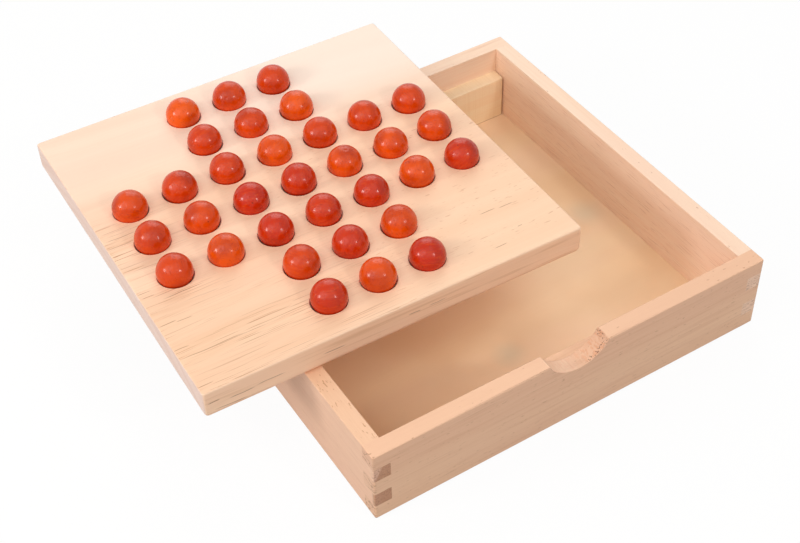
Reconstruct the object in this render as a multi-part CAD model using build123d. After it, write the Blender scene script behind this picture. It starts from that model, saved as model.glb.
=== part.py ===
from build123d import *
from math import cos, radians, sin
import os

# A peg solitaire set in its own wooden tray. The game board is also the lid. It lies across the
# left and back rims, turned a little, as when it has just been lifted out and set down to play.
# Millimetres. The origin is the centre of the tray's underside, +X runs to the right along the
# notched front wall, +Y to the back wall and +Z up.

# Tray
TRAY_WIDTH = 200.0
TRAY_DEPTH = 200.0
TRAY_HEIGHT = 39.0
WALL_THICKNESS = 8.0
CORNER_EASE = 0.8
FOOT_EASE = 1.0
RIM_EASE = 0.5

# Box joints at the corners: the side walls' fingers show in the front and back faces
FINGER_HEIGHT = 7.4
LOWER_FINGER_BOTTOM = 8.4
FINGER_PITCH = 15.6
FINGERS_PER_CORNER = 2

# Finger notch in the rim of the front wall, a circular arc
NOTCH_WIDTH = 30.0
NOTCH_DEPTH = 9.2

# Floor panel, let into a rebate round the foot of the walls
FLOOR_THICKNESS = 1.5
REBATE_WIDTH = 4.0
REBATE_CLEARANCE = 0.15

# Ledge bars along the front and back walls, which carry the board when it is put away
LEDGE_WIDTH = 7.5
LEDGE_END_GAP = 0.4
LEDGE_EASE = 0.6
LEDGE_END_ROUND = 1.2

# Game board, which stands a little proud of the rims when it is put away
BOARD_SIDE_CLEARANCE = 1.5
BOARD_THICKNESS = 15.0
BOARD_ABOVE_RIM = 1.4
BOARD_CORNER_EASE = 1.4
BOARD_TOP_EASE = 0.8
BOARD_FOOT_ROUND = 3.2

# Where the board lies on the rims: its reach past the left and back walls, and its turn in degrees
REACH_LEFT = 42.5
REACH_BACK = 31.2
BOARD_TURN = -1.5

# Balls, and the sockets that hold them in the shape of a cross. The margin runs from the board's
# edges to the centres of the outermost sockets.
BALL_DIAMETER = 16.0
SOCKET_CLEARANCE = 0.5
SOCKET_DEPTH = 6.2
SOCKET_MARGIN = 19.1
SOCKETS_ACROSS = 7
ARM_SOCKETS = 3

# A ball is a little smaller than its socket, so it leans on one side of it. Each next ball leans
# another way, and a seat gap keeps it just clear of the wood.
SEAT_GAP = 0.1
LEAN_ANGLE = 35.0
LEAN_STEP = 137.5

OPENING_WIDTH = TRAY_WIDTH - 2 * WALL_THICKNESS
OPENING_DEPTH = TRAY_DEPTH - 2 * WALL_THICKNESS
BOARD_WIDTH = OPENING_WIDTH - 2 * BOARD_SIDE_CLEARANCE
BOARD_DEPTH = OPENING_DEPTH - 2 * BOARD_SIDE_CLEARANCE
LEDGE_TOP = TRAY_HEIGHT + BOARD_ABOVE_RIM - BOARD_THICKNESS
BALL_RADIUS = BALL_DIAMETER / 2
SOCKET_RADIUS = BALL_RADIUS + SOCKET_CLEARANCE
SOCKET_CENTRE = BOARD_THICKNESS - SOCKET_DEPTH + SOCKET_RADIUS
COLUMN_PITCH = (BOARD_WIDTH - 2 * SOCKET_MARGIN) / (SOCKETS_ACROSS - 1)
ROW_PITCH = (BOARD_DEPTH - 2 * SOCKET_MARGIN) / (SOCKETS_ACROSS - 1)

BOARD_X = BOARD_WIDTH / 2 - TRAY_WIDTH / 2 - REACH_LEFT
BOARD_Y = TRAY_DEPTH / 2 + REACH_BACK - BOARD_DEPTH / 2
BOARD_PLACE = Pos(BOARD_X, BOARD_Y, TRAY_HEIGHT) * Rot(0, 0, BOARD_TURN)


def standing_box(width, depth, height, x=0.0, y=0.0, z=0.0):
    """A box that stands on the height z, centred on x and y."""
    return Pos(x, y, z + height / 2) * Box(width, depth, height)


def tray_shell():
    """The four walls as one ring with eased edges, before it is divided at the box joints."""
    block = standing_box(TRAY_WIDTH, TRAY_DEPTH, TRAY_HEIGHT)
    block = fillet(block.edges().filter_by(Axis.Z), CORNER_EASE)
    block = fillet(block.faces().sort_by(Axis.Z)[0].edges(), FOOT_EASE)
    ring = block - standing_box(OPENING_WIDTH, OPENING_DEPTH, TRAY_HEIGHT)
    ring = fillet(ring.faces().sort_by(Axis.Z)[-1].edges(), RIM_EASE)
    rebate_width = OPENING_WIDTH + 2 * REBATE_WIDTH
    rebate_depth = OPENING_DEPTH + 2 * REBATE_WIDTH
    return ring - standing_box(rebate_width, rebate_depth, FLOOR_THICKNESS)


def corner_fingers(side):
    """The blocks that a side wall's fingers fill at its front and back corners."""
    x = side * (TRAY_WIDTH - WALL_THICKNESS) / 2
    corner_y = (TRAY_DEPTH - WALL_THICKNESS) / 2
    blocks = []
    for y in (-corner_y, corner_y):
        for level in range(FINGERS_PER_CORNER):
            bottom = LOWER_FINGER_BOTTOM + level * FINGER_PITCH
            blocks.append(standing_box(WALL_THICKNESS, WALL_THICKNESS, FINGER_HEIGHT, x, y, bottom))
    return blocks


def side_wall(shell, side):
    """The left (-1) or right (+1) wall, which fits between the long walls and fingers into them."""
    x = side * (TRAY_WIDTH - WALL_THICKNESS) / 2
    zone = standing_box(WALL_THICKNESS, OPENING_DEPTH, TRAY_HEIGHT, x)
    return shell & (zone + corner_fingers(side))


def long_wall(shell, side):
    """The front (-1) or back (+1) wall, which runs to both corners."""
    y = side * (TRAY_DEPTH - WALL_THICKNESS) / 2
    zone = standing_box(TRAY_WIDTH, WALL_THICKNESS, TRAY_HEIGHT, 0.0, y)
    return (shell & zone) - corner_fingers(-1) - corner_fingers(1)


def finger_notch():
    """The cutter for the notch: a cylinder through the front wall, centred above its rim."""
    radius = (NOTCH_WIDTH**2 / 4 + NOTCH_DEPTH**2) / (2 * NOTCH_DEPTH)
    y = -(TRAY_DEPTH - WALL_THICKNESS) / 2
    z = TRAY_HEIGHT - NOTCH_DEPTH + radius
    return Pos(0, y, z) * Rot(90, 0, 0) * Cylinder(radius, 2 * WALL_THICKNESS)


def floor_panel():
    """The thin floor, flush with the walls' feet and a small clearance short of the rebate."""
    width = OPENING_WIDTH + 2 * (REBATE_WIDTH - REBATE_CLEARANCE)
    depth = OPENING_DEPTH + 2 * (REBATE_WIDTH - REBATE_CLEARANCE)
    return standing_box(width, depth, FLOOR_THICKNESS)


def ledge_bar(side):
    """A bar that stands on the floor against the front (-1) or back (+1) wall."""
    length = OPENING_WIDTH - 2 * LEDGE_END_GAP
    y = side * (OPENING_DEPTH - LEDGE_WIDTH) / 2
    bar = standing_box(length, LEDGE_WIDTH, LEDGE_TOP - FLOOR_THICKNESS, 0.0, y, FLOOR_THICKNESS)
    inner_face = bar.faces().sort_by(Axis.Y)[0 if side > 0 else -1]
    bar = fillet(inner_face.edges().filter_by(Axis.Z), LEDGE_END_ROUND)
    inner_face = bar.faces().filter_by(Axis.Y).sort_by(Axis.Y)[0 if side > 0 else -1]
    return fillet(inner_face.edges().sort_by(Axis.Z)[-1], LEDGE_EASE)


def socket_cells():
    """Row, column and place on the board of each socket in the cross, row 1 at the front."""
    middle = (SOCKETS_ACROSS - 1) / 2
    arm_reach = (ARM_SOCKETS - 1) / 2
    cells = []
    for row in range(SOCKETS_ACROSS):
        for column in range(SOCKETS_ACROSS):
            if abs(row - middle) <= arm_reach or abs(column - middle) <= arm_reach:
                x = (column - middle) * COLUMN_PITCH
                y = (row - middle) * ROW_PITCH
                cells.append((row + 1, column + 1, x, y))
    return cells


def game_board():
    """The board, rounded most along its underside, with a spherical socket for each ball."""
    board = standing_box(BOARD_WIDTH, BOARD_DEPTH, BOARD_THICKNESS)
    board = fillet(board.edges().filter_by(Axis.Z), BOARD_CORNER_EASE)
    board = fillet(board.faces().sort_by(Axis.Z)[0].edges(), BOARD_FOOT_ROUND)
    board = fillet(board.faces().sort_by(Axis.Z)[-1].edges(), BOARD_TOP_EASE)
    for row, column, x, y in socket_cells():
        board -= Pos(x, y, SOCKET_CENTRE) * Sphere(SOCKET_RADIUS)
    return BOARD_PLACE * board


def ball(index, x, y):
    """A ball in the socket at x and y, leaning towards a heading that its index gives."""
    slack = SOCKET_CLEARANCE - SEAT_GAP
    sideways = slack * sin(radians(LEAN_ANGLE))
    heading = radians(index * LEAN_STEP)
    ball_x = x + sideways * cos(heading)
    ball_y = y + sideways * sin(heading)
    ball_z = SOCKET_CENTRE - slack * cos(radians(LEAN_ANGLE))
    return BOARD_PLACE * Pos(ball_x, ball_y, ball_z) * Sphere(BALL_RADIUS)


shell = tray_shell()
nodes = {
    "front_wall": long_wall(shell, -1) - finger_notch(),
    "back_wall": long_wall(shell, 1),
    "left_wall": side_wall(shell, -1),
    "right_wall": side_wall(shell, 1),
    "floor_panel": floor_panel(),
    "front_ledge": ledge_bar(-1),
    "back_ledge": ledge_bar(1),
    "game_board": game_board(),
}
for index, (row, column, x, y) in enumerate(socket_cells()):
    nodes[f"ball_row{row}_col{column}"] = ball(index, x, y)

os.makedirs("parts", exist_ok=True)
for name, shape in nodes.items():
    export_step(shape, f"parts/{name}.step")
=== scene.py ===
import random
from math import cos, exp, hypot, pi, radians, sin

import bmesh
import bpy
from mathutils import Euler, Matrix, Vector, noise


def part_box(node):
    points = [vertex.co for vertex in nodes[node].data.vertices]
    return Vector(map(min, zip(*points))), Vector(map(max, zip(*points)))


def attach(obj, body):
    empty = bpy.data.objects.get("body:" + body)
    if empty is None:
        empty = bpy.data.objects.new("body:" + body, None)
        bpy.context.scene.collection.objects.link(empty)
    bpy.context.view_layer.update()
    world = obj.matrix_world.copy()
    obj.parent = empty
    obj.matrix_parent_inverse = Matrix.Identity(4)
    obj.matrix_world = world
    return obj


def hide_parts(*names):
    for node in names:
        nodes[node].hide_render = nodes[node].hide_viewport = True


# A peg solitaire set: a beech tray with its game board laid across two rims, and 33 stained balls.
# Metres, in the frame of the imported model. Colours are written as 0 to 255, as they look in even light.

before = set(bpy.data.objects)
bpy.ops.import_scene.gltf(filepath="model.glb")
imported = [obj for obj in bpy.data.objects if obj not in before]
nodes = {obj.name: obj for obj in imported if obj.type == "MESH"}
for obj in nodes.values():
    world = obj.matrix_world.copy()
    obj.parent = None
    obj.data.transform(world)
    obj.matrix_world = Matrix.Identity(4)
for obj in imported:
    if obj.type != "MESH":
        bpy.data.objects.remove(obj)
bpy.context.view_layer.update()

# Camera, for an image of 800 by 543
CAMERA_PLACE = (-0.26876, -0.40629, 0.48363)
CAMERA_AZIMUTH = -30.961
CAMERA_ELEVATION = 44.527
CAMERA_ROLL = -1.778
CAMERA_LENS = 65.618
SENSOR_WIDTH = 36.0

# From the middle of the front wall to its ends, faces and rim. The other walls are alike.
wall_low, wall_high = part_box("front_wall")
HALF_LENGTH, HALF_WALL, HALF_HEIGHT = (wall_high - wall_low) / 2

# Sizes that the model's boxes don't give
NOTCH_WIDTH = 0.030
NOTCH_DEPTH = 0.0092
RIM_EASE = 0.0005
BOARD_TURN = -1.5

# The hair's breadth that every sharp edge is eased by
JOINT_EASE = 0.00012
SHARP_ANGLE = 30.0
WELD_DISTANCE = 0.00001

# Torn fibres in the finger notch, with the tears counted per metre. They are deepest at its steep
# ends, on the right and in a band along the front face. The lip is the rounded edge where the notch
# meets the rim.
TORN_DEPTH = 0.00055
TORN_FRONT_BAND = 0.003
TORN_LEFT_SHARE = 0.5
TORN_CUTS = 15
TEARS_ALONG = 500
TEARS_ACROSS = 1300
NOTCH_LIP = 0.0010
LIP_HEIGHT = 0.0008
ARC_TOLERANCE = 0.00003
NOTCH_WELD_DISTANCE = 0.000005

# Faint spots on the tray's floor, as x, y and radius
FLOOR_SPOTS = ((0.081, -0.002, 0.013), (-0.004, -0.057, 0.011))

# Balls
BALL_SEGMENTS = 64
BALL_RINGS = 44
RING_CROWDING = 0.12
POLE_FLAT_ANGLE = 7.0
POLE_FLAT_RANGE = (0.5, 1.2)
CENTRE_MARK_DEPTH = 0.00022
CENTRE_MARK_RADIUS = 0.00050
BALL_WAVER = 0.00004
BALL_WAVES = 1.8
BALL_SEED = 11
GRAIN_SEEDS = 40.0

# How orange each ball's stain is, from 0 to 1, by row and column. The rest lie in the middle range.
BALL_TONES = {
    (7, 3): 1.0, (6, 5): 0.95, (5, 4): 0.9, (3, 2): 0.8, (3, 6): 0.8, (4, 6): 0.75,
    (4, 5): 0.7, (1, 4): 0.7, (2, 5): 0.7, (3, 4): 0.15, (3, 5): 0.1, (3, 7): 0.1,
    (2, 4): 0.1, (4, 4): 0.1, (1, 3): 0.1, (3, 3): 0.05, (4, 3): 0.0, (1, 5): 0.0,
}
MIDDLE_TONES = (0.3, 0.6)

# Materials
BUMP_DEPTH = 0.0002
PORE_WIDTH = 0.00043
GROWTH_WANDER = 0.0055
BALL_END_GRAIN = (0.0058, 0.0080)

# Lamps, as name, direction from the object, distance, size and power
LAMPS = (
    ("key_left", (-0.885, 0.120, 0.438), 1.1, 0.22, 2.8),
    ("left_wide", (-0.72, -0.12, 0.68), 1.3, 0.9, 4.7),
    ("fill_front", (0.23, -0.78, 0.57), 1.2, 0.13, 2.1),
    ("overhead", (-0.10, -0.48, 0.86), 1.8, 2.0, 9.8),
    ("top_back", (0.38, 0.67, 0.61), 1.5, 1.0, 6.7),
)
LAMP_COLOUR = (1.0, 0.985, 0.97)
LIGHT_AIM = (-0.02, 0.01, 0.03)

# World and studio floor
AMBIENT = 0.325
BACKGROUND = 1.0
FLOOR_GLOW = 1.04
FLOOR_SIZE = 8.0
FLOOR_DROP = 0.0002
FLOOR_PAINT = (206, 205, 203)
FLOOR_WHITENESS = 0.90


def linear(red, green, blue):
    """A colour written as 0 to 255, as the linear value that a shader takes."""
    channels = []
    for value in (red, green, blue):
        share = value / 255
        channels.append(share / 12.92 if share <= 0.04045 else ((share + 0.055) / 1.055) ** 2.4)
    return (*channels, 1.0)


def add(tree, kind, inputs=None, **settings):
    """Adds a shader node, sets it, and links or sets each named or numbered input."""
    node = tree.nodes.new("ShaderNode" + kind)
    for name, value in settings.items():
        setattr(node, name, value)
    for name, value in (inputs or {}).items():
        if isinstance(value, bpy.types.NodeSocket):
            tree.links.new(value, node.inputs[name])
        else:
            node.inputs[name].default_value = value
    return node


def calculate(tree, operation, first, second=0.0, third=0.0):
    node = add(tree, "Math", {0: first, 1: second, 2: third}, operation=operation)
    return node.outputs[0]


def multiply(tree, *factors):
    product = factors[0]
    for factor in factors[1:]:
        product = calculate(tree, "MULTIPLY", product, factor)
    return product


def highest(tree, *values):
    top = values[0]
    for value in values[1:]:
        top = calculate(tree, "MAXIMUM", top, value)
    return top


def calculate_vector(tree, operation, first, second=(0, 0, 0), third=(0, 0, 0)):
    node = add(tree, "VectorMath", {0: first, 1: second, 2: third}, operation=operation)
    return node.outputs["Value" if operation in ("LENGTH", "DOT_PRODUCT") else "Vector"]


def split(tree, vector):
    parts = add(tree, "SeparateXYZ", {"Vector": vector})
    return parts.outputs["X"], parts.outputs["Y"], parts.outputs["Z"]


def ease_between(tree, value, low, high):
    """0 below low, 1 above high, smooth between. With low above high it falls instead."""
    if low < high:
        inputs = {"Value": value, "From Min": low, "From Max": high, "To Min": 0.0, "To Max": 1.0}
    else:
        inputs = {"Value": value, "From Min": high, "From Max": low, "To Min": 1.0, "To Max": 0.0}
    node = add(tree, "MapRange", inputs, interpolation_type="SMOOTHSTEP")
    return node.outputs["Result"]


def near(tree, value, centre, half_width, soft=0.4):
    """1 where the value is close to the centre, 0 beyond the half width."""
    offset = calculate(tree, "ABSOLUTE", calculate(tree, "SUBTRACT", value, centre))
    return ease_between(tree, offset, half_width, half_width * (1 - soft))


def coloured_noise(tree, point, stretch, seed, detail=2.0, roughness=0.5):
    """Noise of point times stretch, so that stretch is in features per metre on each axis."""
    scaled = calculate_vector(tree, "MULTIPLY", point, stretch)
    inputs = {"Vector": scaled, "W": seed, "Scale": 1.0, "Detail": detail, "Roughness": roughness}
    return add(tree, "TexNoise", inputs, noise_dimensions="4D")


def speckle(tree, point, stretch, seed, detail=2.0, roughness=0.5):
    """The same as a grey value."""
    return coloured_noise(tree, point, stretch, seed, detail, roughness).outputs[0]


def patches(tree, point, stretch, seed, detail, low, high):
    """Where such noise rises from low to high, as a mask."""
    return ease_between(tree, speckle(tree, point, stretch, seed, detail), low, high)


def grain_lines(tree, point, seed, length, width, low, high):
    """Thin marks along the grain, about as long and as wide as given."""
    return patches(tree, point, (1 / length, 1 / width, 1 / width), seed, 1.0, low, high)


def blend_colours(tree, amount, first, second):
    node = add(tree, "Mix", {0: amount, 6: first, 7: second}, data_type="RGBA")
    return node.outputs[2]


def mix_in(tree, colour, amount, share, tint):
    """The colour with a share of the tint where the amount is 1."""
    return blend_colours(tree, calculate(tree, "MULTIPLY", amount, share), colour, tint)


def seen_directly(tree):
    """1 for the rays that meet a plain white studio: from the camera, glossy and transmitted."""
    path = add(tree, "LightPath")
    through = calculate(tree, "MAXIMUM", path.outputs["Is Glossy Ray"], path.outputs["Is Transmission Ray"])
    return calculate(tree, "MAXIMUM", path.outputs["Is Camera Ray"], through)


def new_material(name):
    material = bpy.data.materials.new(name)
    material.use_nodes = True
    material.node_tree.nodes.clear()
    return material


def output_surface(tree, shader):
    add(tree, "OutputMaterial", {"Surface": shader.outputs[0]})


def wood(name, heading, centre, seed, tones, heart, rings=(170.0, 0.5), fibre_share=0.3, cloud_share=0.5,
         pores=(0.005, 0.66, 0.4), marks=None, end_share=0.6, end_dots=0.6, roughness=(0.46, 0.62)):
    """Solid wood. Its grain runs along the heading, in degrees from the X axis, and its rings lie
    round a heart line at (across, height) from the centre. Rings are their number per metre and
    their share, and pores their length, floor and share. The function marks draws what is this
    piece's own. It takes the place, which holds the tree, the piece's own coordinates, those of the
    grown grain, the normal and the seed, and gives masks, each with its share, tint and depth."""
    material = new_material(name)
    tree = material.node_tree
    coordinates = add(tree, "TexCoord")
    normal = coordinates.outputs["Normal"]
    local = add(
        tree, "Mapping",
        {"Vector": coordinates.outputs["Object"], "Location": centre, "Rotation": (0, 0, radians(heading))},
        vector_type="TEXTURE",
    ).outputs["Vector"]

    # Growth wanders a little along the grain
    waver = coloured_noise(tree, local, (9, 26, 26), seed).outputs[1]
    offset = calculate_vector(tree, "SUBTRACT", waver, (0.5, 0.5, 0.5))
    grown = calculate_vector(tree, "MULTIPLY_ADD", offset, (0.0, GROWTH_WANDER, GROWTH_WANDER), local)
    along, across, up = split(tree, grown)

    # Growth rings round the heart line, which leans a little
    ring_y = calculate(tree, "MULTIPLY_ADD", along, 0.035, calculate(tree, "SUBTRACT", across, heart[0]))
    ring_z = calculate(tree, "MULTIPLY_ADD", along, 0.02, calculate(tree, "SUBTRACT", up, heart[1]))
    from_heart = add(tree, "CombineXYZ", {"X": 0.0, "Y": ring_y, "Z": ring_z}).outputs["Vector"]
    radius = calculate_vector(tree, "LENGTH", from_heart)
    rings_per_metre, ring_share = rings
    ring_place = calculate(tree, "MULTIPLY_ADD", radius, rings_per_metre, seed * 7.3)
    ring_noise = add(tree, "TexNoise", {"W": ring_place, "Scale": 1.0, "Detail": 4.0, "Roughness": 0.62},
                     noise_dimensions="1D").outputs[0]
    ring_tone = ease_between(tree, ring_noise, 0.36, 0.66)

    fibres = speckle(tree, grown, (28, 1500, 1500), seed, 3.0, 0.6)
    clouds = speckle(tree, grown, (7, 38, 38), seed + 3.1, 2.0)
    pore_length, pore_floor, pore_share = pores
    pore_marks = grain_lines(tree, grown, seed + 5.7, pore_length, PORE_WIDTH, pore_floor, pore_floor + 0.12)
    pore_zone = patches(tree, grown, (16, 85, 85), seed + 8.2, 1.0, 0.40, 0.60)
    pore_marks = multiply(tree, pore_marks, pore_zone)

    pale, deep, blush, pore, end_pale, end_deep = (
        linear(*tones[key]) for key in ("pale", "deep", "blush", "pore", "end", "deep_end"))
    colour = blend_colours(tree, calculate(tree, "MULTIPLY", ring_tone, ring_share), pale, deep)
    colour = mix_in(tree, colour, ease_between(tree, fibres, 0.42, 0.68), fibre_share, deep)
    colour = mix_in(tree, colour, ease_between(tree, clouds, 0.40, 0.66), cloud_share, blush)
    colour = mix_in(tree, colour, pore_marks, pore_share, pore)
    relief = calculate(tree, "MULTIPLY_ADD", pore_marks, -0.8, fibres)

    # Sawn-across ends have open pores instead of lines
    heading_ray = (cos(radians(heading)), sin(radians(heading)), 0.0)
    facing = calculate_vector(tree, "DOT_PRODUCT", normal, heading_ray)
    end = ease_between(tree, calculate(tree, "ABSOLUTE", facing), 0.55, 0.92)
    dots = patches(tree, local, (1500, 1500, 1500), seed + 19.0, 1.0, 0.44, 0.66)
    arcs = ease_between(tree, ring_noise, 0.42, 0.62)
    end_tone = blend_colours(tree, multiply(tree, dots, end_dots), end_pale, end_deep)
    end_tone = blend_colours(tree, multiply(tree, arcs, 0.5), end_tone, end_deep)
    colour = mix_in(tree, colour, end, end_share, end_tone)

    if marks:
        place = {"tree": tree, "local": local, "grown": grown, "normal": normal, "seed": seed}
        for mask, share, tint, depth in marks(place):
            colour = mix_in(tree, colour, mask, share, linear(*tint))
            if depth:
                relief = calculate(tree, "MULTIPLY_ADD", mask, -depth, relief)

    gloss = add(tree, "MapRange", {"Value": fibres, "To Min": roughness[0], "To Max": roughness[1]})
    bump = add(tree, "Bump", {"Height": relief, "Strength": 0.25, "Distance": BUMP_DEPTH})
    shader = add(tree, "BsdfPrincipled", {
        "Base Color": colour, "Roughness": gloss.outputs["Result"], "Normal": bump.outputs["Normal"],
        "Specular IOR Level": 0.35})
    output_surface(tree, shader)
    return material


def ball_property(tree, name):
    """The outputs of a node that reads one of a ball's own properties."""
    return add(tree, "Attribute", attribute_type="OBJECT", attribute_name=name).outputs


def stain():
    """Red stained and lacquered wood. A ball's properties are its tone, from 0, deep, to 1, orange,
    the seed of its marks and the turn of its grain."""
    material = new_material("stained_ball")
    tree = material.node_tree
    turn = ball_property(tree, "turn")["Vector"]
    tone = ball_property(tree, "tone")["Fac"]
    seed = ball_property(tree, "seed")["Fac"]
    centred = add(tree, "TexCoord").outputs["Object"]
    point = add(tree, "VectorRotate", {"Vector": centred, "Rotation": turn},
                rotation_type="EULER_XYZ", invert=True).outputs["Vector"]
    streaks = speckle(tree, point, (1100, 1100, 110), seed, 3.0, 0.6)
    mottle = speckle(tree, point, (210, 210, 110), calculate(tree, "ADD", seed, 4.0), 3.0, 0.6)
    pores = patches(tree, point, (1500, 1500, 260), seed, 1.0, 0.62, 0.72)
    pits = patches(tree, point, (800, 800, 450), calculate(tree, "ADD", seed, 9.0), 1.0, 0.74, 0.80)
    height = split(tree, point)[2]
    ends = ease_between(tree, calculate(tree, "ABSOLUTE", height), *BALL_END_GRAIN)

    colour = blend_colours(tree, tone, linear(196, 42, 6), linear(236, 88, 2))
    colour = mix_in(tree, colour, ease_between(tree, mottle, 0.44, 0.62), 0.30, linear(172, 30, 2))
    colour = mix_in(tree, colour, ease_between(tree, streaks, 0.47, 0.70), 0.28, linear(234, 92, 18))
    colour = mix_in(tree, colour, ends, 0.35, linear(146, 28, 10))
    colour = mix_in(tree, colour, pores, 0.26, linear(126, 18, 4))
    colour = mix_in(tree, colour, pits, 0.65, linear(84, 14, 4))
    grooves = calculate(tree, "MULTIPLY_ADD", pores, -0.5, calculate(tree, "MULTIPLY", streaks, 0.5))
    relief = calculate(tree, "MULTIPLY_ADD", pits, -1.2, grooves)
    bump = add(tree, "Bump", {"Height": relief, "Strength": 0.5, "Distance": BUMP_DEPTH})
    gloss = add(tree, "MapRange", {"Value": mottle, "To Min": 0.18, "To Max": 0.28})
    shader = add(tree, "BsdfPrincipled", {
        "Base Color": colour, "Roughness": gloss.outputs["Result"], "Normal": bump.outputs["Normal"],
        "Specular IOR Level": 0.18, "Coat Weight": 0.26, "Coat Roughness": 0.16, "Coat IOR": 1.45})
    output_surface(tree, shader)
    return material


def box_centre(node):
    low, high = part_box(node)
    return (low + high) / 2


def set_material(piece, material):
    piece.data.materials.clear()
    piece.data.materials.append(material)


def ease_edges(piece):
    """Breaks every sharp edge by a hair, so that joints show as fine lines and rims catch light."""
    weld = piece.modifiers.new("weld", "WELD")
    weld.merge_threshold = WELD_DISTANCE
    bevel = piece.modifiers.new("ease", "BEVEL")
    bevel.width = JOINT_EASE
    bevel.segments = 2
    bevel.limit_method = "ANGLE"
    bevel.angle_limit = radians(SHARP_ANGLE)


def turned_ball(name, radius, rng):
    """A lathe-turned ball: at each end of its axis a small flat with a centre mark, and a skin that
    is a hair off round. Its rings lie closer together near the ends."""
    shift = Vector((rng.uniform(0, 9), rng.uniform(0, 9), rng.uniform(0, 9)))
    flat_angle = radians(POLE_FLAT_ANGLE) * rng.uniform(*POLE_FLAT_RANGE)
    bm = bmesh.new()
    rings = []
    for ring in range(1, BALL_RINGS):
        share = ring / BALL_RINGS
        polar = pi * (share - RING_CROWDING * sin(2 * pi * share) / pi)
        from_pole = min(polar, pi - polar)
        reach = radius * cos(flat_angle) / cos(from_pole) if from_pole < flat_angle else radius
        mark = CENTRE_MARK_DEPTH * exp(-((reach * sin(from_pole) / CENTRE_MARK_RADIUS) ** 2))
        circle = []
        for step in range(BALL_SEGMENTS):
            turn = 2 * pi * step / BALL_SEGMENTS
            ray = Vector((sin(polar) * cos(turn), sin(polar) * sin(turn), cos(polar)))
            skin = BALL_WAVER * noise.noise(ray * BALL_WAVES + shift)
            circle.append(bm.verts.new(ray * (reach - mark + skin)))
        rings.append(circle)
    for this_ring, next_ring in zip(rings, rings[1:]):
        for step in range(BALL_SEGMENTS):
            following = (step + 1) % BALL_SEGMENTS
            bm.faces.new((this_ring[step], next_ring[step], next_ring[following], this_ring[following]))
    for circle, side in ((rings[0], 1), (rings[-1], -1)):
        pole = bm.verts.new((0, 0, side * (radius * cos(flat_angle) - CENTRE_MARK_DEPTH)))
        for step in range(BALL_SEGMENTS):
            corners = (pole, circle[step], circle[(step + 1) % BALL_SEGMENTS])
            bm.faces.new(corners if side > 0 else corners[::-1])
    mesh = bpy.data.meshes.new(name)
    bm.to_mesh(mesh)
    bm.free()
    mesh.shade_smooth()
    return bpy.data.objects.new(name, mesh)


def torn_notch_wall(name, source):
    """The front wall with torn fibres in its finger notch, where the cutter crossed the grain."""
    low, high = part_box(source.name)
    arc_radius = (NOTCH_WIDTH**2 / 4 + NOTCH_DEPTH**2) / (2 * NOTCH_DEPTH)
    axis_z = high.z - NOTCH_DEPTH + arc_radius
    bm = bmesh.new()
    bm.from_mesh(source.data)
    bmesh.ops.remove_doubles(bm, verts=bm.verts, dist=NOTCH_WELD_DISTANCE)

    def on_arc(point):
        return abs(hypot(point.x, point.z - axis_z) - arc_radius) < ARC_TOLERANCE

    crossing = [face for face in bm.faces if abs(face.normal.y) < 0.5]
    faces = [face for face in crossing if all(on_arc(vert.co) for vert in face.verts)]
    edges = {edge for face in faces for edge in face.edges}
    bmesh.ops.subdivide_edges(bm, edges=list(edges), cuts=TORN_CUTS, use_grid_fill=True)
    for vert in bm.verts:
        if not on_arc(vert.co) or abs(vert.co.x) > NOTCH_WIDTH / 2 + NOTCH_LIP:
            continue
        point = vert.co.copy()
        outward = Vector((point.x, 0.0, point.z - axis_z)).normalized()
        if point.z > high.z - LIP_HEIGHT:
            outward = Vector((1.0 if point.x > 0 else -1.0, 0.0, 0.0))
        steep = min(1.0, abs(point.x) / (NOTCH_WIDTH / 2)) ** 1.5
        front = max(0.0, 1 - (point.y - low.y) / TORN_FRONT_BAND)
        stretched = Vector((point.x * TEARS_ALONG, point.y * TEARS_ACROSS, point.z * TEARS_ACROSS))
        tear = noise.noise(stretched)
        ragged = max(0.0, tear + 0.05) * TORN_DEPTH * steep * (0.5 + front)
        if point.x < 0:
            ragged *= TORN_LEFT_SHARE
        vert.co = point + outward * ragged
    mesh = bpy.data.meshes.new(name)
    bm.to_mesh(mesh)
    bm.free()
    wall = bpy.data.objects.new(name, mesh)
    bpy.context.scene.collection.objects.link(wall)
    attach(wall, "tray")
    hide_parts(source.name)
    return wall


# What each wood has of its own. Each function of marks gives masks, each with its share, tint and
# depth, and places them from the middle of its piece.

def rim_zone(tree, up):
    """1 on a wall's rim, 0 on its faces."""
    return ease_between(tree, up, HALF_HEIGHT - RIM_EASE, HALF_HEIGHT - RIM_EASE / 5)


def beech_flecks(place, zone, density=0.69):
    """The short brown rays of beech, a millimetre or two long."""
    tree, grown, seed = place["tree"], place["grown"], place["seed"]
    flecks = grain_lines(tree, grown, seed + 11.3, 0.0024, 0.0008, density, density + 0.05)
    groups = patches(tree, grown, (60, 120, 120), seed + 13.9, 1.0, 0.42, 0.54)
    return multiply(tree, flecks, groups, zone)


def long_streaks(place, seed, low, high):
    """Soft darker streaks, some centimetres long and about a millimetre wide."""
    stretch = (22, 520, 520)
    return patches(place["tree"], place["grown"], stretch, place["seed"] + seed, 2.0, low, high)


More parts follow.
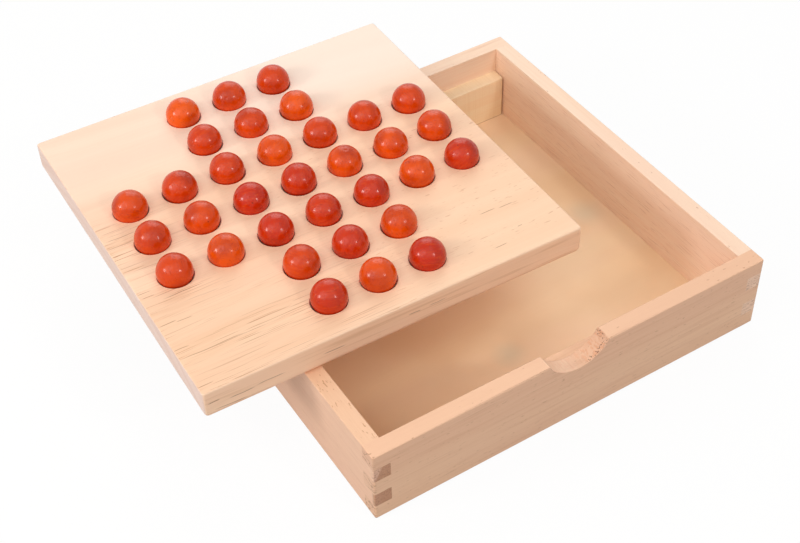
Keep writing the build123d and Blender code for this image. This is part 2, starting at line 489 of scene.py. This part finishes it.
def front_wall_marks(place):
    tree, local, grown = place["tree"], place["local"], place["grown"]
    along, across, up = split(tree, local)
    rim = rim_zone(tree, up)
    face = calculate(tree, "SUBTRACT", 1.0, rim)
    upper = ease_between(tree, up, -0.0040, 0.0120)
    lines = grain_lines(tree, grown, 27.0, 0.040, 0.0006, 0.66, 0.76)
    specks = grain_lines(tree, grown, 33.0, 0.0030, 0.0007, 0.66, 0.73)

    # Swirls of end grain on the side that shows in the left face
    left_end = ease_between(tree, along, 0.0015 - HALF_LENGTH, 0.0005 - HALF_LENGTH)
    swirls = near(tree, speckle(tree, local, (1, 150, 330), 55.0, 1.0), 0.50, 0.035, 0.7)

    # Painted light makes the finger notch light on the left. On the right it has tufts, and dark pits along
    # its edges.
    notch_foot = HALF_HEIGHT - NOTCH_DEPTH
    notch = multiply(tree, near(tree, along, 0.0, NOTCH_WIDTH / 2 + 0.0006, 0.05),
                     ease_between(tree, up, notch_foot - 0.0018, notch_foot - 0.0003),
                     near(tree, across, 0.0, HALF_WALL - 0.0001, 0.1))
    lit_left_side = multiply(tree, notch, ease_between(tree, along, 0.0040, -0.0060))
    right_side = multiply(tree, notch, ease_between(tree, along, 0.0010, 0.0090))
    tufts = patches(tree, local, (900, 420, 900), 31.0, 2.0, 0.48, 0.60)
    pits = patches(tree, local, (1500, 1300, 1500), 37.0, 1.0, 0.55, 0.64)
    front_edge = multiply(tree, near(tree, across, 0.0012 - HALF_WALL, 0.0011, 0.3),
                          near(tree, along, 0.0085, 0.0060, 0.3), ease_between(tree, up, 0.0100, 0.0115))
    top_edge = multiply(tree, near(tree, along, NOTCH_WIDTH / 2 - 0.0010, 0.0014, 0.5),
                        ease_between(tree, up, HALF_HEIGHT - 0.0030, HALF_HEIGHT - 0.0015))
    return [
        (rim, 0.45, (236, 187, 153), 0.0),
        (beech_flecks(place, rim), 0.45, (172, 112, 76), 0.6),
        (face, 0.35, (214, 174, 144), 0.0),
        (multiply(tree, face, upper), 0.30, (222, 170, 140), 0.0),
        (multiply(tree, face, long_streaks(place, 23.0, 0.50, 0.66)), 0.24, (208, 154, 122), 0.0),
        (multiply(tree, face, lines), 0.35, (178, 130, 100), 0.3),
        (multiply(tree, face, specks), 0.34, (160, 108, 78), 0.5),
        (multiply(tree, left_end, swirls), 0.55, (150, 100, 72), 0.5),
        # Painted light on the notch's left side.
        (lit_left_side, 0.60, (255, 216, 186), 0.0),
        (multiply(tree, notch, tufts), 0.30, (236, 178, 144), 0.8),
        (multiply(tree, right_side, tufts), 0.50, (216, 152, 114), 0.8),
        (multiply(tree, highest(tree, front_edge, top_edge), pits), 0.85, (112, 64, 40), 1.2),
    ]


def back_wall_marks(place):
    tree = place["tree"]
    rim = rim_zone(tree, split(tree, place["local"])[2])
    return [
        (beech_flecks(place, rim, 0.71), 0.40, (190, 134, 98), 0.6),
        (long_streaks(place, 23.0, 0.54, 0.68), 0.35, (226, 178, 146), 0.0),
    ]


def finger_ends(tree, along):
    """1 at both ends of a side wall, where its fingers show in the front and back faces."""
    from_middle = calculate(tree, "ABSOLUTE", along)
    return ease_between(tree, from_middle, HALF_LENGTH - 0.0025, HALF_LENGTH - 0.0005)


def side_wall_marks(place, fleck_floor=0.70):
    """Fine lines on the faces, and a wavy darker grain on the finger ends."""
    tree, local = place["tree"], place["local"]
    along, _, up = split(tree, local)
    rim = rim_zone(tree, up)
    face = calculate(tree, "SUBTRACT", 1.0, rim)
    lines = grain_lines(tree, place["grown"], 29.0, 0.013, 0.00042, 0.58, 0.70)
    waves = near(tree, speckle(tree, local, (200, 260, 900), 41.0, 1.0), 0.56, 0.04, 0.6)
    return [
        (beech_flecks(place, rim, fleck_floor), 0.55, (176, 116, 72), 0.6),
        (multiply(tree, face, lines), 0.32, (182, 122, 88), 0.4),
        (multiply(tree, finger_ends(tree, along), waves), 0.45, (154, 100, 70), 0.4),
    ]


def left_wall_marks(place):
    """As a side wall, with painted shade that dulls the outer face, and darker finger ends. The upper
    finger's outer part is light, on a slant."""
    tree, local = place["tree"], place["local"]
    along, across, up = split(tree, local)
    at_end = finger_ends(tree, along)
    below_rim = ease_between(tree, up, HALF_HEIGHT - RIM_EASE / 5, HALF_HEIGHT - RIM_EASE)
    # The outer face, which gets painted shade.
    shaded_outer_face = multiply(tree, below_rim, ease_between(tree, across, 0.0, 0.0030))
    slant = calculate(tree, "MULTIPLY_ADD", up, 0.486, across)
    dark_part = ease_between(tree, slant, 0.0060, 0.0050)
    lines = patches(tree, local, (200, 1100, 1300), 47.0, 1.0, 0.56, 0.66)
    return side_wall_marks(place, 0.64) + [
        # Painted shade that dulls the whole outer face.
        (shaded_outer_face, 0.40, (224, 182, 160), 0.0),
        (multiply(tree, at_end, dark_part), 0.60, (176, 122, 86), 0.0),
        (multiply(tree, at_end, lines), 0.50, (146, 98, 72), 0.4),
    ]


def ledge_marks(place):
    """Faint saw marks, and a darker line where the bar stands on the floor."""
    tree, local = place["tree"], place["local"]
    saw_marks = patches(tree, local, (1100, 40, 25), 51.0, 1.0, 0.45, 0.70)
    foot = ease_between(tree, split(tree, local)[2], -0.0112, -0.0119)
    return [
        (saw_marks, 0.16, (232, 192, 144), 0.2),
        (foot, 0.5, (150, 106, 70), 0.0),
    ]


def floor_marks(place):
    """Soft clouds and a few faint grey spots, with browner painted shade towards the front left,
    where the board and walls shade the floor.
    """
    tree, local = place["tree"], place["local"]
    along, across, _ = split(tree, local)
    clouds = patches(tree, local, (22, 30, 1), 81.0, 2.0, 0.42, 0.66)
    # Painted shade, browner, in the floor's front left corner.
    front_left_shade = multiply(tree, ease_between(tree, along, 0.020, -0.080),
                     ease_between(tree, across, 0.000, -0.080))
    spots = []
    for x, y, radius in FLOOR_SPOTS:
        offset = calculate_vector(tree, "SUBTRACT", place["grown"], (x, y, 0.0))
        spots.append(ease_between(tree, calculate_vector(tree, "LENGTH", offset), radius, 0.0))
    return [
        (clouds, 0.35, (240, 196, 150), 0.0),
        # Painted shade, browner, towards the front left.
        (front_left_shade, 0.38, (230, 180, 134), 0.0),
        (highest(tree, *spots), 0.45, (214, 206, 178), 0.0),
    ]


# The strongest dark lines in the board's top, as places along and across it, half lengths and half
# widths
TOP_LINES = (
    (-0.0820, 0.0103, 0.0080, 0.00022),
    (-0.0845, 0.0053, 0.0070, 0.00020),
    (-0.0850, -0.0002, 0.0060, 0.00022),
    (-0.0870, -0.0267, 0.0035, 0.00022),
    (-0.0865, -0.0298, 0.0032, 0.00026),
    (-0.0725, -0.0342, 0.0105, 0.00024),
    (-0.0860, -0.0482, 0.0045, 0.00030),
    (-0.0790, -0.0492, 0.0042, 0.00022),
    (-0.0750, -0.0692, 0.0160, 0.00026),
    (-0.0870, -0.0637, 0.0040, 0.00022),
    (-0.0870, -0.0860, 0.0040, 0.00022),
    (0.0615, -0.0603, 0.0045, 0.00026),
    (0.0705, -0.0611, 0.0042, 0.00026),
    (0.0545, -0.0815, 0.0036, 0.00026),
    (0.0684, -0.0750, 0.0014, 0.00026),
)
# And in its front edge, as places along it and up it from its middle
FRONT_LINES = (
    (-0.0862, 0.0010, 0.0030, 0.00034),
    (-0.0738, -0.0007, 0.0064, 0.00030),
    (-0.0610, -0.0001, 0.0072, 0.00024),
    (-0.0790, -0.0039, 0.0080, 0.00022),
    (-0.0320, 0.0002, 0.0058, 0.00026),
    (0.0060, 0.0009, 0.0034, 0.00028),
    (0.0172, 0.0014, 0.0050, 0.00018),
)
# How far such a line wavers, from side to side
LINE_WAVER = 0.0012


def drawn_lines(place, lines, axis):
    """The given lines, each fading at its ends and wavering a little."""
    tree, local = place["tree"], place["local"]
    axes = split(tree, local)
    waver = speckle(tree, local, (90, 90, 90), place["seed"] + 43.0, 1.0)
    side = calculate(tree, "MULTIPLY_ADD", waver, LINE_WAVER, axes[axis])
    drawn = []
    for centre, level, half_length, half_width in lines:
        span = near(tree, axes[0], centre, half_length, 0.5)
        drawn.append(multiply(tree, span, near(tree, side, level + LINE_WAVER / 2, half_width, 0.8)))
    return highest(tree, *drawn)


def board_marks(place):
    """Fine dark lines in groups at the front left and along the left edge, short dashes towards the
    front right, soft darker streaks in the middle that are grain and painted shade among the balls, and a
    painted sheen that makes the far side paler."""
    tree, grown = place["tree"], place["grown"]
    along, across, _ = split(tree, place["local"])
    _, normal_y, normal_z = split(tree, place["normal"])
    top = ease_between(tree, normal_z, 0.7, 0.9)
    front = ease_between(tree, normal_y, -0.7, -0.9)

    # Painted sheen: the far side is paler and whiter, more so towards the right, standing in for the back
    # light's sheen.
    far_sheen = multiply(tree, top, ease_between(tree, across, 0.005, 0.070))
    far_right_sheen = multiply(tree, far_sheen, ease_between(tree, along, -0.070, 0.050))
    right = multiply(tree, ease_between(tree, along, -0.020, 0.060),
                     ease_between(tree, across, 0.060, 0.000))
    front_left = multiply(tree, ease_between(tree, across, -0.010, -0.070),
                          ease_between(tree, along, 0.050, -0.060))
    middle_left = multiply(tree, ease_between(tree, along, -0.040, -0.085),
                           ease_between(tree, across, 0.030, 0.012))

    groups = patches(tree, grown, (12, 110, 110), 61.0, 1.0, 0.26, 0.56)
    line_zone = multiply(tree, highest(tree, front_left, middle_left), groups, top)
    lines = grain_lines(tree, grown, 63.0, 0.026, 0.00045, 0.575, 0.68)
    bands = long_streaks(place, 75.0, 0.46, 0.62)

    dash_groups = patches(tree, grown, (18, 90, 90), 69.0, 1.0, 0.44, 0.60)
    dash_zone = multiply(tree, ease_between(tree, along, -0.060, 0.010),
                         ease_between(tree, across, 0.060, 0.010), top, dash_groups)
    dashes = grain_lines(tree, grown, 67.0, 0.0048, 0.0007, 0.63, 0.72)

    # Darker streaks in the band of the balls: grain, and painted shade among the balls.
    streaks_and_shade = patches(tree, grown, (9, 95, 95), 71.0, 2.0, 0.50, 0.66)
    shade_zone = multiply(tree, top, near(tree, across, 0.000, 0.055, 0.6))
    return [
        # Painted sheen on the far side and its right part.
        (far_sheen, 0.36, (255, 236, 222), 0.0),
        (far_right_sheen, 0.65, (255, 238, 223), 0.0),
        (multiply(tree, top, right), 0.35, (253, 211, 172), 0.0),
        # Painted shade among the balls, with grain streaks.
        (multiply(tree, streaks_and_shade, shade_zone), 0.38, (226, 186, 156), 0.0),
        (multiply(tree, top, front_left), 0.40, (240, 192, 152), 0.0),
        (multiply(tree, bands, line_zone), 0.28, (232, 182, 140), 0.0),
        (multiply(tree, lines, line_zone), 0.58, (162, 102, 56), 0.8),
        (multiply(tree, dashes, dash_zone), 0.45, (196, 136, 90), 0.8),
        (multiply(tree, drawn_lines(place, TOP_LINES, 1), top), 0.65, (140, 92, 56), 1.0),
        (multiply(tree, front, long_streaks(place, 73.0, 0.50, 0.64)), 0.35, (212, 164, 120), 0.0),
        (multiply(tree, drawn_lines(place, FRONT_LINES, 2), front), 0.70, (124, 78, 48), 1.0),
    ]


# Tones: the front and left walls are pinkish beech, as is the front ledge. The far walls are paler,
# partly wood and partly a painted sheen, and the floor, the back ledge and the board paler still.
BEECH_END = {"end": (216, 168, 142), "deep_end": (180, 130, 104)}
BEECH = {
    "pale": (246, 203, 168), "deep": (230, 180, 144), "blush": (238, 190, 160), "pore": (182, 130, 98),
    **BEECH_END,
}
# Beech for the far walls: paler wood with a painted sheen, standing in for the back light on their rims and
# faces.
PALE_SHEENED_BEECH = {
    "pale": (253, 223, 196), "deep": (246, 206, 176), "blush": (250, 214, 190), "pore": (206, 152, 120),
    **BEECH_END,
}
PLY = {
    "pale": (254, 223, 183), "deep": (247, 211, 170), "blush": (250, 213, 180), "pore": (226, 182, 142),
    "end": (226, 180, 142), "deep_end": (198, 150, 112),
}
PALE_BAR = {
    "pale": (255, 232, 194), "deep": (251, 218, 176), "blush": (253, 224, 188), "pore": (216, 172, 128),
    "end": (240, 202, 160), "deep_end": (214, 170, 128),
}
BOARD = {
    "pale": (252, 215, 183), "deep": (243, 198, 163), "blush": (249, 206, 177), "pore": (202, 150, 108),
    "end": (233, 209, 200), "deep_end": (219, 187, 174),
}


def dress_tray():
    woods = {
        "front_wall": wood("front_wall_beech", 0, box_centre("front_wall"), 1.0, BEECH, (0.03, -0.09),
                           rings=(170.0, 0.3), cloud_share=0.35, marks=front_wall_marks, end_share=0.20),
        "back_wall": wood("back_wall_beech", 0, box_centre("back_wall"), 2.0, PALE_SHEENED_BEECH, (-0.03, -0.08),
                          marks=back_wall_marks),
        "left_wall": wood("left_wall_beech", 90, box_centre("left_wall"), 3.0, BEECH, (0.02, -0.10),
                          rings=(170.0, 0.3), cloud_share=0.35, marks=left_wall_marks, end_share=0.8),
        "right_wall": wood("right_wall_beech", 90, box_centre("right_wall"), 4.0, PALE_SHEENED_BEECH,
                           (-0.02, -0.07), rings=(170.0, 0.35), marks=side_wall_marks, end_share=0.30),
        "floor_panel": wood("floor_ply", 0, box_centre("floor_panel"), 5.0, PLY, (0.0, -0.6),
                            rings=(60.0, 0.4), fibre_share=0.15, pores=(0.005, 0.66, 0.1),
                            marks=floor_marks),
    }
    for node, seed, tones in (("front_ledge", 6.0, BEECH), ("back_ledge", 7.0, PALE_BAR)):
        woods[node] = wood(f"{node}_wood", 0, box_centre(node), seed, tones, (0.02, -0.12),
                           pores=(0.005, 0.66, 0.2), marks=ledge_marks)
    notched = torn_notch_wall("front_wall_torn_notch", nodes["front_wall"])
    for node, material in woods.items():
        piece = notched if node == "front_wall" else nodes[node]
        set_material(piece, material)
        ease_edges(piece)


def dress_board():
    material = wood("board_wood", BOARD_TURN, box_centre("game_board"), 8.0, BOARD, (0.01, -0.16),
                    rings=(150.0, 0.6), fibre_share=0.22, pores=(0.005, 0.68, 0.25), marks=board_marks,
                    end_dots=0.35, end_share=0.8)
    set_material(nodes["game_board"], material)
    ease_edges(nodes["game_board"])


def lay_balls():
    """Puts a turned ball, its grain any way round, in the place of each plain one."""
    rng = random.Random(BALL_SEED)
    material = stain()
    for node in sorted(name for name in nodes if name.startswith("ball_")):
        row, column = (int(part[-1]) for part in node.split("_")[1:])
        low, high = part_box(node)
        piece = turned_ball(f"turned_{node}", (high.z - low.z) / 2, rng)
        bpy.context.scene.collection.objects.link(piece)
        piece.location = (low + high) / 2
        turn = Euler((rng.uniform(0, pi), rng.uniform(0, pi), rng.uniform(0, 2 * pi)))
        piece.data.transform(turn.to_matrix().to_4x4())
        piece["turn"] = list(turn)
        piece["tone"] = BALL_TONES.get((row, column), rng.uniform(*MIDDLE_TONES))
        piece["seed"] = rng.uniform(0.0, GRAIN_SEEDS)
        set_material(piece, material)
        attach(piece, node)
        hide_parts(node)


def lay_floor():
    """The studio floor: white to the eye, with the object's shadow on it."""
    mesh = bpy.data.meshes.new("floor")
    half = FLOOR_SIZE / 2
    mesh.from_pydata([(-half, -half, 0), (half, -half, 0), (half, half, 0), (-half, half, 0)], [],
                     [(0, 1, 2, 3)])
    floor = bpy.data.objects.new("floor", mesh)
    bpy.context.scene.collection.objects.link(floor)
    floor.location.z = -FLOOR_DROP
    material = new_material("floor_white")
    tree = material.node_tree
    whiteness = calculate(tree, "MULTIPLY", seen_directly(tree), FLOOR_WHITENESS)
    paint = add(tree, "BsdfDiffuse", {"Color": linear(*FLOOR_PAINT)})
    white = add(tree, "Emission", {"Color": (1, 1, 1, 1), "Strength": FLOOR_GLOW})
    mixed = add(tree, "MixShader", {0: whiteness, 1: paint.outputs[0], 2: white.outputs[0]})
    output_surface(tree, mixed)
    mesh.materials.append(material)


def light_world():
    world = bpy.data.worlds.new("studio")
    world.use_nodes = True
    bpy.context.scene.world = world
    tree = world.node_tree
    tree.nodes.clear()
    level = add(tree, "MapRange", {"Value": seen_directly(tree), "To Min": AMBIENT, "To Max": BACKGROUND})
    sky = add(tree, "Background", {"Color": (1, 1, 1, 1), "Strength": level.outputs["Result"]})
    add(tree, "OutputWorld", {"Surface": sky.outputs[0]})


def softbox(name, towards, distance, size, power):
    """A square lamp that faces the object from the direction towards."""
    lamp = bpy.data.lights.new(name, "AREA")
    lamp.shape = "SQUARE"
    lamp.size = size
    lamp.energy = power
    lamp.color = LAMP_COLOUR
    box = bpy.data.objects.new(name, lamp)
    direction = Vector(towards).normalized()
    box.location = Vector(LIGHT_AIM) + direction * distance
    box.rotation_euler = direction.to_track_quat("Z", "Y").to_euler()
    bpy.context.scene.collection.objects.link(box)


def place_camera():
    lens = bpy.data.cameras.new("camera")
    lens.lens = CAMERA_LENS
    lens.sensor_width = SENSOR_WIDTH
    lens.sensor_fit = "HORIZONTAL"
    camera = bpy.data.objects.new("camera", lens)
    aim = Euler((radians(90 - CAMERA_ELEVATION), 0.0, radians(CAMERA_AZIMUTH))).to_matrix()
    roll = Matrix.Rotation(radians(CAMERA_ROLL), 3, "Z")
    camera.rotation_euler = (aim @ roll).to_euler()
    camera.location = CAMERA_PLACE
    bpy.context.scene.collection.objects.link(camera)
    bpy.context.scene.camera = camera


place_camera()
light_world()
for lamp_values in LAMPS:
    softbox(*lamp_values)
lay_floor()
dress_tray()
dress_board()
lay_balls()
bpy.context.scene.view_settings.view_transform = "Standard"
